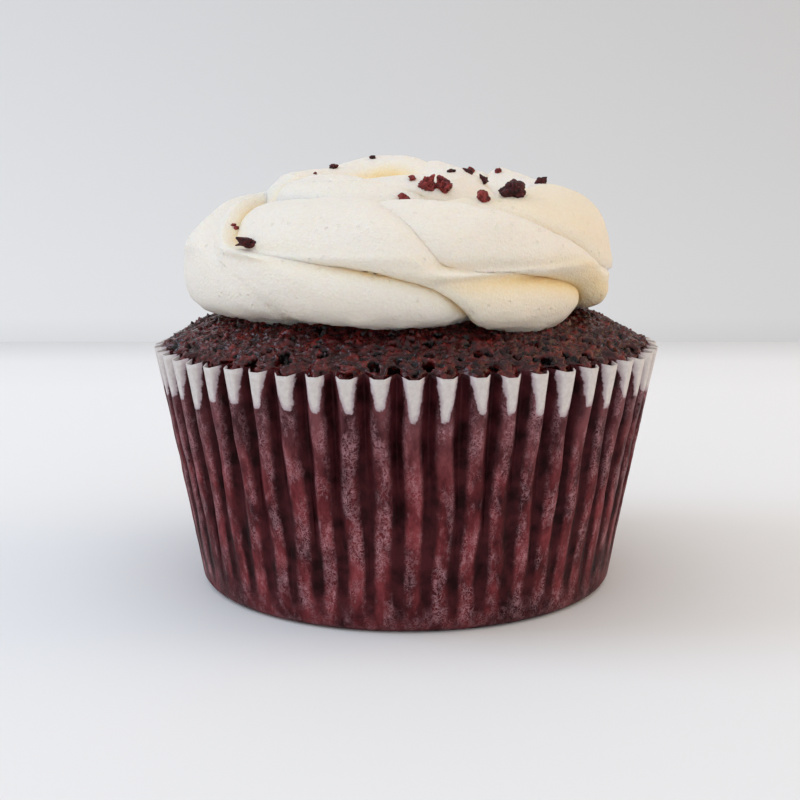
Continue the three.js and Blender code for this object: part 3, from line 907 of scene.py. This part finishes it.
# painted golden shade in a groove: its reach as a share of the groove's side, the least reach, how weak it is after
# the groove, the depth that is fully shaded, and how far a fold's own painted shade keeps off the grooves
SHADE_SHARE = 0.55
SHADE_REACH = 0.7
SHADE_AFTER = 0.8
SHADE_DEPTH = 1.9
SHADE_CLEAR = 2.5
# the inner turn's inner side takes painted golden shade between these angles
INNER_SHADE_ANGLES = (95, 150)
# height and size of the skin's lumps and of the foot's ragged skin, which fades in down these heights
LUMPS = (0.28, 9.0)
SMALL_LUMPS = (0.07, 2.4)
RAGGED = (0.22, 1.5)
RAGGED_HEIGHTS = (38.5, 36.0)
BED_DEPTH = 0.5
# the floor of the hollow in the middle: rings of radius and height
HOLLOW_RINGS = [(6.5, 45), (6.5, 49), (4.5, 51), (2.5, HOLLOW_FLOOR)]
HOLLOW_COLUMNS = 64
HOLLOW_LUMPS = (0.3, 2.0)
# painted golden shade over the whole hollow
HOLLOW_SHADE = 0.5
TOP_MARGIN = 0.01


def ridge_share(angle, fold, after):
    """Share of a fold's width at which its ridge runs, by the level stretch of the fold after it."""
    low, high = fold.get("ridge", RIDGE_SHARES)
    return low + (high - low) * beyond(RIDGE_BORDER, angle - after["mid"])


def level_share(fold, angle):
    """1 where a fold's groove begins its level stretch, and less away from it."""
    middle, width = LEVEL_SPAN
    return np.exp(-(((angle - fold["mid"] - middle) / width) ** 2))


def high_share(fold, angle):
    """0 below a fold's level stretch and 1 above it."""
    return beyond(HIGH_BORDER, angle - fold["mid"])


def groove_depth(fold, high, level):
    return (fold["tail"] * (1 - high) + fold["groove"] * high) * (1 - LEVEL_FADE * level)


def groove_distance(fold, wrap, angle, azimuth, path, section):
    """Distance over the surface from each point to a fold's groove, in millimetres."""
    along = np.linspace(-TURN / 2, TURN / 2, GROOVE_SAMPLES)
    line = fold_azimuth(fold, along) + wrap
    distance = np.empty(azimuth.shape)
    for row in range(len(azimuth)):
        across = (azimuth[row][:, None] - line) * (path[row] * RAD)[:, None]
        up = (angle[row, 0] - along) * (section[row] * RAD)[:, None]
        distance[row] = np.sqrt((across**2 + up**2).min(axis=1))
    return distance


def rounded(value, blunt):
    """From 0 at 0 to 1 at 1, starting level over about blunt."""
    return (np.sqrt(value**2 + blunt**2) - blunt) / (np.sqrt(1 + blunt**2) - blunt)


def falling(distance, reach, blunt):
    """1 at a groove and less away from it, level over about blunt."""
    return np.exp(-(np.sqrt(distance**2 + blunt**2) - blunt) / reach)


def sides(fold, high):
    """How wide a fold's groove runs out after it and before it."""
    low_sides, high_sides = fold.get("low", LOW_SIDES), fold.get("high", HIGH_SIDES)
    return [low * (1 - high) + upper * high for low, upper in zip(low_sides, high_sides)]


def fold_strip(turn, angle, fold, after, wrap):
    """The points of a fold, from its groove to the one after it, and how much golden painted shade each takes."""
    start = fold_azimuth(fold, angle)
    width = fold_azimuth(after, angle) + wrap - start
    ridge_at = ridge_share(angle, fold, after)
    steps = np.arange(HALF_COLUMNS) / HALF_COLUMNS
    left = ridge_at * steps**COLUMN_CROWDING
    right = ridge_at + (1 - ridge_at) * (1 - (1 - steps) ** COLUMN_CROWDING)
    share = np.concatenate([left, right], axis=1)
    azimuth = start + share * width
    section = turn["section"](angle, azimuth)
    path = np.maximum(turn["path_radius"] + section * np.cos(angle * RAD), 1.0)
    own = groove_distance(fold, 0, angle, azimuth, path, section)
    other = groove_distance(after, wrap, angle, azimuth, path, section)

    # a groove is shallow where its level stretch begins, and rounder above that stretch than below it
    blunt, next_blunt = fold.get("blunt", 0), after.get("blunt", 0)
    level, next_level = level_share(fold, angle), level_share(after, angle)
    high, next_high = high_share(fold, angle), high_share(after, angle)
    own_depth, next_depth = groove_depth(fold, high, level), groove_depth(after, next_high, next_level)
    near_side, far_side = sides(fold, high)[0], sides(after, next_high)[1]
    swell = np.where(
        share < ridge_at,
        rounded(share / ridge_at, LEAST_BLUNT + BLUNT_BEFORE * blunt + LEVEL_BLUNT * level),
        rounded((1 - share) / (1 - ridge_at), LEAST_BLUNT + BLUNT_AFTER * next_blunt + LEVEL_BLUNT * next_level),
    )
    swell = np.clip(swell, 0, 1) ** SWELL_POWER
    calm = 1 - turn["calm_top"] * smoothstep(*CALM_ANGLES, angle)
    near = own_depth * calm * falling(own, near_side, blunt + LEVEL_ROUNDING * level)
    far = next_depth * calm * falling(other, far_side, next_blunt + LEVEL_ROUNDING * next_level)
    foot = beyond(FOOT_TOP, angle) * beyond(FOOT_BOTTOM, angle)
    tuck = turn["foot_cut"] * foot * (1 - fold["hang"] * 4 * share * (1 - share))
    reach = section + turn["ridge"] * calm * (swell - 0.5) - np.maximum(near, far) - tuck

    # the fold's lower edge hangs over the one before it
    lip = 0 if blunt else turn["lip"] * own_depth * (1 - LIP_HIGH_FADE * high)
    lip = lip * (1 - np.exp(-own / LIP_ROUNDING)) * np.exp(-own / LIP_REACH)
    slide = path * fold_slope(fold, angle) / section
    lean = np.sqrt(1 + slide**2)
    azimuth = azimuth - lip / lean / path / RAD
    tilt = angle + lip * slide / lean / section / RAD
    out = turn["path_radius"] + reach * np.cos(tilt * RAD)
    up = turn["path_height"](azimuth) + reach * np.sin(tilt * RAD)

    # painted golden shade near the grooves, and on folds that are turned from the light
    behind = next_depth * np.exp(-other / (SHADE_SHARE * far_side))
    ahead = SHADE_AFTER * own_depth * np.exp(-own / np.maximum(SHADE_REACH, SHADE_SHARE * near_side))
    low_gold, high_gold = fold.get("gold", (0, 0))
    gold = low_gold + (high_gold - low_gold) * high
    gold = gold * smoothstep(0, SHADE_CLEAR, own) * smoothstep(0, SHADE_CLEAR, other)
    crease_shade = np.maximum(ahead, behind) / SHADE_DEPTH + gold
    return place(out, azimuth, up), np.maximum(crease_shade, turn["inner_gold"] * smoothstep(*INNER_SHADE_ANGLES, angle))


def relief(points, form, octaves, seed):
    """Noise of a form, which is its height and size in millimetres."""
    height, size = form
    return height * fractal(points, size, octaves, seed)


def piped_turn(turn):
    """One closed turn of the piped rope, with how much golden painted shade each point takes, deepest in a crease.
    """
    rows, folds, seed = turn["rows"], turn["folds"], turn["seed"]
    s = np.arange(rows)[:, None] / rows - 0.5
    angle = TURN * s - turn["crowding"] * np.sin(2 * math.pi * s)
    strips = []
    for index, fold in enumerate(folds):
        last = index == len(folds) - 1
        after, wrap = (folds[0], TURN) if last else (folds[index + 1], 0)
        strips.append(fold_strip(turn, angle, fold, after, wrap))
    points, crease_shade = (np.concatenate(parts, axis=1) for parts in zip(*strips))
    points[..., :2] += turn["centre"]
    normal = grid_normals(points, close_rows=True)
    lumps = relief(points, LUMPS, 2, seed) + relief(points, SMALL_LUMPS, 3, seed + 3)
    ragged = relief(points, RAGGED, 2, seed + 5) * smoothstep(*RAGGED_HEIGHTS, points[..., 2])
    points = points + normal * (lumps + ragged)[..., None]
    # the underside lies just below the crust
    bed = dome_height(np.hypot(points[..., 0], points[..., 1])) - BED_DEPTH
    points[..., 2] = np.maximum(points[..., 2], bed)
    return points, crease_shade


def build_frosting():
    points, faces, creases, count = [], [], [], 0
    for turn in (RING, INNER):
        turn_points, crease_shade = piped_turn(turn)
        faces += (np.array(grid_faces(*crease_shade.shape, close_rows=True)) + count).tolist()
        points.append(turn_points.reshape(-1, 3))
        creases.append(crease_shade.ravel())
        count += crease_shade.size
    azimuth = np.arange(HOLLOW_COLUMNS) * TURN / HOLLOW_COLUMNS
    rings = np.array([place(np.full(HOLLOW_COLUMNS, r), azimuth, z) for r, z in HOLLOW_RINGS])
    rings[..., :2] += INNER_CENTRE
    rings[..., 2] += relief(rings, HOLLOW_LUMPS, 2, 8.0)
    faces += [[v + count for v in face] for face in closed_faces(len(HOLLOW_RINGS), HOLLOW_COLUMNS)]
    tips = [(*INNER_CENTRE, HOLLOW_RINGS[0][1]), (*INNER_CENTRE, HOLLOW_FLOOR)]
    points = np.concatenate([*points, rings.reshape(-1, 3), tips])
    # the hollow is given painted golden shade all over
    creases.append(np.full(len(points) - count, HOLLOW_SHADE))
    points[:, 2] = np.minimum(points[:, 2], CAD_BOX[1][2] / MM - TOP_MARGIN)
    piece = new_mesh("frosting_swirl", points, faces)
    set_attribute(piece, "crease_shade", np.concatenate(creases))
    dress(piece, frosting_material(), "frosting", "frosting")
    return piece


# ---- the crumbs on the frosting ----

BACK_JITTER = 0.8
# how far a crumb is stretched each way, and as shares of its size: its body, the height and size of its lumps and
# of its creases, and its horns and bites
CRUMB_STRETCH = (0.78, 1.2)
CRUMB_BODY = 0.86
CRUMB_LUMPS = (0.42, 1.1)
CRUMB_CREASES = (0.45, 0.42)
CREASE_LEVEL = 0.3
CRUMB_HORNS = 9
HORN_HEIGHT = (-0.5, 0.85)
HORN_WIDTH = (0.015, 0.07)
LEAST_CRUMB_RADIUS = 0.25


def all_crumbs():
    """Every crumb of the solid, at the part's own places, and the specks."""
    draw = seeded_random(CRUMB_SEED)
    for _ in range(DRAWS_PER_CRUMB * len(FRONT_CRUMBS)):
        draw()
    crumbs = [*FRONT_CRUMBS]
    for i in range(BACK_CRUMBS):
        azimuth = BACK_FROM + (BACK_TO - BACK_FROM) * (i + BACK_JITTER * draw()) / BACK_CRUMBS
        reach = BACK_REACH + BACK_SPREAD * draw()
        size = BACK_SIZE + BACK_SIZE_SPREAD * draw() ** 2
        crumbs.append((azimuth, reach, size, "red" if i % 3 == 0 else "dark"))
        for _ in range(DRAWS_PER_CRUMB):
            draw()
    return crumbs + SPECKS


def crumb_points(unit, size, random):
    """A ragged, grainy lump from the points of a unit sphere."""
    turn = Matrix.Rotation(random.uniform(0, TURN) * RAD, 3, Vector(random.standard_normal(3)).normalized())
    points = unit @ np.array(turn) * random.uniform(*CRUMB_STRETCH, 3)
    seed = random.uniform(0, 50)
    height, crease_size = CRUMB_CREASES
    creases = height * (CREASE_LEVEL - np.abs(fractal(points, crease_size, 3, seed + 9)))
    radius = CRUMB_BODY + relief(points, CRUMB_LUMPS, 3, seed) + creases
    for _ in range(CRUMB_HORNS):
        way = random.standard_normal(3)
        closeness = unit @ (way / np.linalg.norm(way)) - 1
        radius += random.uniform(*HORN_HEIGHT) * np.exp(closeness / random.uniform(*HORN_WIDTH))
    points = points * np.maximum(radius, LEAST_CRUMB_RADIUS)[:, None] * size
    points[:, 2] *= CRUMB_FLATNESS
    return points


def build_crumbs(frosting):
    """The dark and the red crumbs, each kind one piece, lying on the frosting's own surface."""
    bpy.context.view_layer.update()
    surface = BVHTree.FromObject(frosting, bpy.context.evaluated_depsgraph_get())
    ball = bmesh.new()
    bmesh.ops.create_icosphere(ball, subdivisions=4, radius=1.0)
    unit = np.array([v.co[:] for v in ball.verts])
    unit_faces = [[v.index for v in face.verts] for face in ball.faces]
    ball.free()
    random = np.random.default_rng(CRUMB_SEED)
    top = CAD_BOX[1][2] / MM
    kinds = {kind: ([], []) for kind in CRUMB_COLOURS}
    for azimuth, reach, size, kind, *flake in all_crumbs():
        lift, breadth = flake or (0.0, 1.0)
        x, y, _ = place(reach, azimuth, 0.0)
        hit = surface.ray_cast(Vector((x * MM, y * MM, 1.0)), Vector((0, 0, -1)))[0]
        points = crumb_points(unit, size, random) * (breadth, 1, 1 / breadth)
        points = points + np.array((x, y, hit.z / MM + CRUMB_SUNK * size + lift))
        points[:, 2] = np.minimum(points[:, 2], top)
        all_points, all_faces = kinds[kind]
        first = len(all_points) * len(unit)
        all_points.append(points)
        all_faces += [[v + first for v in face] for face in unit_faces]
    for kind, (points, faces) in kinds.items():
        piece = new_mesh(f"{kind}_crumbs", np.concatenate(points), faces)
        dress(piece, crumb_material(f"{kind}_crumb", *CRUMB_COLOURS[kind]), "crumb", "frosting")


# ---- camera, light and floor, in metres ----

SENSOR_WIDTH = 36
LENS = 63
CLIP_START = 0.01
CAMERA_AT = (-0.0008, -0.1853, 0.0556)
CAMERA_PITCH = 90 - 9.88

SKY_COLOUR = (0.93, 0.96, 1.0, 1)
SKY_STRENGTH = 0.96
FLOOR_BACK = 0.237
FLOOR_REACH = 2
FLOOR_COLOUR = (0.80, 0.79, 0.78)
WALL_AT = 0.6
WALL_FOOT = -0.048
WALL_REACH = 3
WALL_BOTTOM = -0.9
WALL_TOP = 2.5
WALL_COLOUR = (0.728, 0.722, 0.714)
# painted shade along an axis: the table's far edge is a soft, darker line of painted shadow, and the wall is painted
# darker upwards and to the right, as the light falls off
FLOOR_SHADES = [("Y", [(0.150, 1.0), (0.195, 0.96), (FLOOR_BACK, 0.78)])]
WALL_SHADES = [
    ("Z", [(WALL_FOOT, 0.93), (WALL_FOOT + 0.014, 1.0), (0.14, 0.86)]),
    ("X", [(-0.224, 1.0), (0.224, 0.855)]),
]

# lamp: place, what it points at, sides, watts and colour
CUPCAKE = (0.0, 0.0, 0.04)
WALL_SPOT = (-0.15, WALL_AT, 0.0)
LAMPS = {
    "window": ((-0.62, -0.02, 0.52), CUPCAKE, (0.38, 0.38), 2.0, (0.62, 0.77, 1.0)),
    "warm_lamp": ((0.72, 0.10, 0.34), CUPCAKE, (0.5, 0.5), 1.45, (1.0, 0.60, 0.22)),
    "front_fill": ((0.10, -1.0, 0.70), CUPCAKE, (1.2, 0.8), 0.5, (1.0, 0.97, 0.94)),
    "backdrop_lamp": ((-0.15, 0.12, 0.80), WALL_SPOT, (1.2, 0.3), 0.9, (1.0, 1.0, 1.0)),
}


def add_camera():
    camera = bpy.data.objects.new("camera", bpy.data.cameras.new("camera"))
    camera.data.sensor_width = SENSOR_WIDTH
    camera.data.lens = LENS
    camera.data.clip_start = CLIP_START
    camera.location = CAMERA_AT
    camera.rotation_euler = (CAMERA_PITCH * RAD, 0, 0)
    bpy.context.scene.collection.objects.link(camera)
    bpy.context.scene.camera = camera


def add_area(name, location, target, size, watts, colour):
    lamp = bpy.data.lights.new(name, "AREA")
    lamp.shape = "RECTANGLE"
    lamp.size, lamp.size_y = size
    lamp.energy = watts
    lamp.color = colour
    light = bpy.data.objects.new(name, lamp)
    light.location = location
    light.rotation_euler = (Vector(target) - Vector(location)).to_track_quat("-Z", "Y").to_euler()
    bpy.context.scene.collection.objects.link(light)


def stage_material(name, colour, axes):
    """A plain matt surface with painted shade along an axis: each of axes is (axis, stops), stops in metres and
    grey.
    """
    s = Shader(name, roughness=0.7, specular_ior_level=0.1)
    split = s.node("SeparateXYZ", Vector=s.place)
    shade = None
    for axis, stops in axes:
        low, high = stops[0][0], stops[-1][0]
        span = s.math("MULTIPLY", s.math("SUBTRACT", split.outputs[axis], low), 1 / (high - low))
        grey = s.ramp(span, [((at - low) / (high - low), value) for at, value in stops])
        shade = grey if shade is None else s.math("MULTIPLY", shade, grey)
    return s.finish(s.mix(shade, (0.0, 0.0, 0.0), colour))


def add_sheet(name, corners, material):
    """A flat part of the room, which isn't part of the cupcake."""
    sheet = new_mesh(name, [[value / MM for value in corner] for corner in corners], [(0, 1, 2, 3)])
    sheet.data.materials.append(material)


def add_stage():
    world = bpy.data.worlds.new("soft_studio")
    world.use_nodes = True
    background = world.node_tree.nodes["Background"]
    background.inputs["Color"].default_value = SKY_COLOUR
    background.inputs["Strength"].default_value = SKY_STRENGTH
    bpy.context.scene.world = world
    for name, lamp in LAMPS.items():
        add_area(name, *lamp)
    near, far = (-FLOOR_REACH, FLOOR_REACH), (FLOOR_REACH, -FLOOR_REACH)
    corners = [(x, -FLOOR_REACH, 0) for x in near] + [(x, FLOOR_BACK, 0) for x in far]
    add_sheet("floor", corners, stage_material("pale_table", FLOOR_COLOUR, FLOOR_SHADES))
    low, high = (-WALL_REACH, WALL_REACH), (WALL_REACH, -WALL_REACH)
    corners = [(x, WALL_AT, WALL_BOTTOM) for x in low] + [(x, WALL_AT, WALL_TOP) for x in high]
    add_sheet("wall", corners, stage_material("pale_wall", WALL_COLOUR, WALL_SHADES))


add_camera()
bpy.context.scene.view_settings.view_transform = "Standard"
build_paper_case()
build_cake()
build_crumbs(build_frosting())
add_stage()

bpy.context.view_layer.update()
